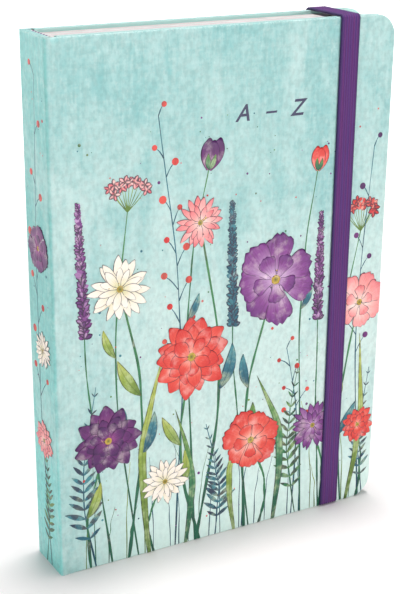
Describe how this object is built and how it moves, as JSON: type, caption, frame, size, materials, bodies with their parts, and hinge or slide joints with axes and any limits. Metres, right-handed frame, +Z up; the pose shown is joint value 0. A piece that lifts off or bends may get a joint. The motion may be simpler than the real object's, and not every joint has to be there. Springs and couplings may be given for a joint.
{
  "type": "address book",
  "caption": "Hardcover address book with flat spine, printed paper case, stepped index pages and an elastic closure.",
  "frame": {"origin": "on the standing surface, below the middle of the closed book with its elastic on", "axes": "+Z up along the book's height, spine at -X, fore edge at +X, front cover facing -Y"},
  "size_m": [0.126, 0.0218, 0.1789],
  "materials": {
    "greyboard": "raw greyboard",
    "printed_paper": "printed cover paper with a matt film",
    "endpaper": "uncoated endpaper",
    "page_paper": "uncoated writing paper",
    "lining_cloth": "open gauze",
    "thread": "waxed sewing thread",
    "headband_cloth": "woven cotton",
    "elastic": "woven flat elastic"
  },
  "bodies": {
    "back_cover": {"back_board": "greyboard", "back_cover_wrap": "printed_paper", "back_pastedown": "endpaper", "back_joint_strip": "printed_paper", "elastic_ends": "elastic"},
    "spine": {"spine_board": "greyboard", "spine_wrap": "printed_paper", "spine_lining": "lining_cloth", "sewing_thread": "thread", "headband": "headband_cloth", "tailband": "headband_cloth"},
    "front_cover": {"front_board": "greyboard", "front_cover_wrap": "printed_paper", "front_pastedown": "endpaper", "front_joint_strip": "printed_paper"},
    "front_flyleaf": {"front_flyleaf": "endpaper"},
    "back_flyleaf": {"back_flyleaf": "endpaper"},
    "elastic_sides": {"elastic_side_runs": "elastic"},
    "elastic_front": {"elastic_front_run": "elastic"},
    "section_ab": {"section_ab": "page_paper"},
    "section_cd": {"section_cd": "page_paper"},
    "section_ef": {"section_ef": "page_paper"},
    "section_gh": {"section_gh": "page_paper"},
    "section_ij": {"section_ij": "page_paper"},
    "section_kl": {"section_kl": "page_paper"},
    "section_mn": {"section_mn": "page_paper"},
    "section_op": {"section_op": "page_paper"},
    "section_qr": {"section_qr": "page_paper"},
    "section_st": {"section_st": "page_paper"},
    "section_uv": {"section_uv": "page_paper"},
    "section_wx": {"section_wx": "page_paper"},
    "section_yz": {"section_yz": "page_paper"}
  },
  "joints": [
    {"name": "front_cover_hinge", "type": "hinge", "parent": "spine", "child": "front_cover", "pos_m": [-0.0599, -0.00995, 0], "axis": [0, 0, -1], "range_deg": [0, 90], "deforming": ["front_joint_strip"]},
    {"name": "back_cover_hinge", "type": "hinge", "parent": "back_cover", "child": "spine", "pos_m": [-0.0599, 0.00995, 0], "axis": [0, 0, -1], "range_deg": [0, 90], "deforming": ["back_joint_strip"]},
    {"name": "front_flyleaf_turn", "type": "hinge", "parent": "spine", "child": "front_flyleaf", "pos_m": [-0.05902, -0.00682, 0], "axis": [0, 0, -1], "range_deg": [0, 58]},
    {"name": "back_flyleaf_turn", "type": "hinge", "parent": "spine", "child": "back_flyleaf", "pos_m": [-0.05902, 0.00682, 0], "axis": [0, 0, -1], "range_deg": [-58, 0]},
    {"name": "section_ab_turn", "type": "hinge", "parent": "spine", "child": "section_ab", "pos_m": [-0.05902, -0.00612, 0], "axis": [0, 0, -1], "range_deg": [0, 33]},
    {"name": "section_cd_turn", "type": "hinge", "parent": "spine", "child": "section_cd", "pos_m": [-0.05902, -0.0051, 0], "axis": [0, 0, -1], "range_deg": [0, 27.75]},
    {"name": "section_ef_turn", "type": "hinge", "parent": "spine", "child": "section_ef", "pos_m": [-0.05902, -0.00408, 0], "axis": [0, 0, -1], "range_deg": [0, 22.5]},
    {"name": "section_gh_turn", "type": "hinge", "parent": "spine", "child": "section_gh", "pos_m": [-0.05902, -0.00306, 0], "axis": [0, 0, -1], "range_deg": [0, 17.25]},
    {"name": "section_ij_turn", "type": "hinge", "parent": "spine", "child": "section_ij", "pos_m": [-0.05902, -0.00204, 0], "axis": [0, 0, -1], "range_deg": [0, 12]},
    {"name": "section_kl_turn", "type": "hinge", "parent": "spine", "child": "section_kl", "pos_m": [-0.05902, -0.00102, 0], "axis": [0, 0, -1], "range_deg": [0, 6.75]},
    {"name": "section_mn_turn", "type": "hinge", "parent": "spine", "child": "section_mn", "pos_m": [-0.05902, 0, 0], "axis": [0, 0, -1], "range_deg": [0, 1.5]},
    {"name": "section_op_turn", "type": "hinge", "parent": "spine", "child": "section_op", "pos_m": [-0.05902, 0.00102, 0], "axis": [0, 0, -1], "range_deg": [-3.75, 0]},
    {"name": "section_qr_turn", "type": "hinge", "parent": "spine", "child": "section_qr", "pos_m": [-0.05902, 0.00204, 0], "axis": [0, 0, -1], "range_deg": [-9, 0]},
    {"name": "section_st_turn", "type": "hinge", "parent": "spine", "child": "section_st", "pos_m": [-0.05902, 0.00306, 0], "axis": [0, 0, -1], "range_deg": [-14.25, 0]},
    {"name": "section_uv_turn", "type": "hinge", "parent": "spine", "child": "section_uv", "pos_m": [-0.05902, 0.00408, 0], "axis": [0, 0, -1], "range_deg": [-19.5, 0]},
    {"name": "section_wx_turn", "type": "hinge", "parent": "spine", "child": "section_wx", "pos_m": [-0.05902, 0.0051, 0], "axis": [0, 0, -1], "range_deg": [-24.75, 0]},
    {"name": "section_yz_turn", "type": "hinge", "parent": "spine", "child": "section_yz", "pos_m": [-0.05902, 0.00612, 0], "axis": [0, 0, -1], "range_deg": [-30, 0]},
    {"name": "elastic_swing", "type": "hinge", "parent": "back_cover", "child": "elastic_sides", "pos_m": [0.0443, 0.0104, 0], "axis": [0, 0, 1], "range_deg": [0, 180], "deforming": ["elastic_side_runs"]},
    {"name": "elastic_draw", "type": "slide", "parent": "elastic_sides", "child": "elastic_front", "axis": [0, 1, 0], "range_m": [0, 0.0199], "deforming": ["elastic_front_run"]}
  ],
  "couplings": [
    {"joint": "back_cover_hinge", "follows": "front_cover_hinge", "ratio": 1},
    {"joint": "front_flyleaf_turn", "follows": "front_cover_hinge", "ratio": 0.64444},
    {"joint": "back_flyleaf_turn", "follows": "front_cover_hinge", "ratio": -0.64444},
    {"joint": "section_ab_turn", "follows": "front_cover_hinge", "ratio": 0.36667},
    {"joint": "section_cd_turn", "follows": "front_cover_hinge", "ratio": 0.30833},
    {"joint": "section_ef_turn", "follows": "front_cover_hinge", "ratio": 0.25},
    {"joint": "section_gh_turn", "follows": "front_cover_hinge", "ratio": 0.19167},
    {"joint": "section_ij_turn", "follows": "front_cover_hinge", "ratio": 0.13333},
    {"joint": "section_kl_turn", "follows": "front_cover_hinge", "ratio": 0.075},
    {"joint": "section_mn_turn", "follows": "front_cover_hinge", "ratio": 0.016667},
    {"joint": "section_op_turn", "follows": "front_cover_hinge", "ratio": -0.041667},
    {"joint": "section_qr_turn", "follows": "front_cover_hinge", "ratio": -0.1},
    {"joint": "section_st_turn", "follows": "front_cover_hinge", "ratio": -0.15833},
    {"joint": "section_uv_turn", "follows": "front_cover_hinge", "ratio": -0.21667},
    {"joint": "section_wx_turn", "follows": "front_cover_hinge", "ratio": -0.275},
    {"joint": "section_yz_turn", "follows": "front_cover_hinge", "ratio": -0.33333},
    {"joint": "elastic_swing", "follows": "front_cover_hinge", "ratio": 2},
    {"joint": "elastic_draw", "follows": "front_cover_hinge", "m_per_rad": 0.012668}
  ]
}
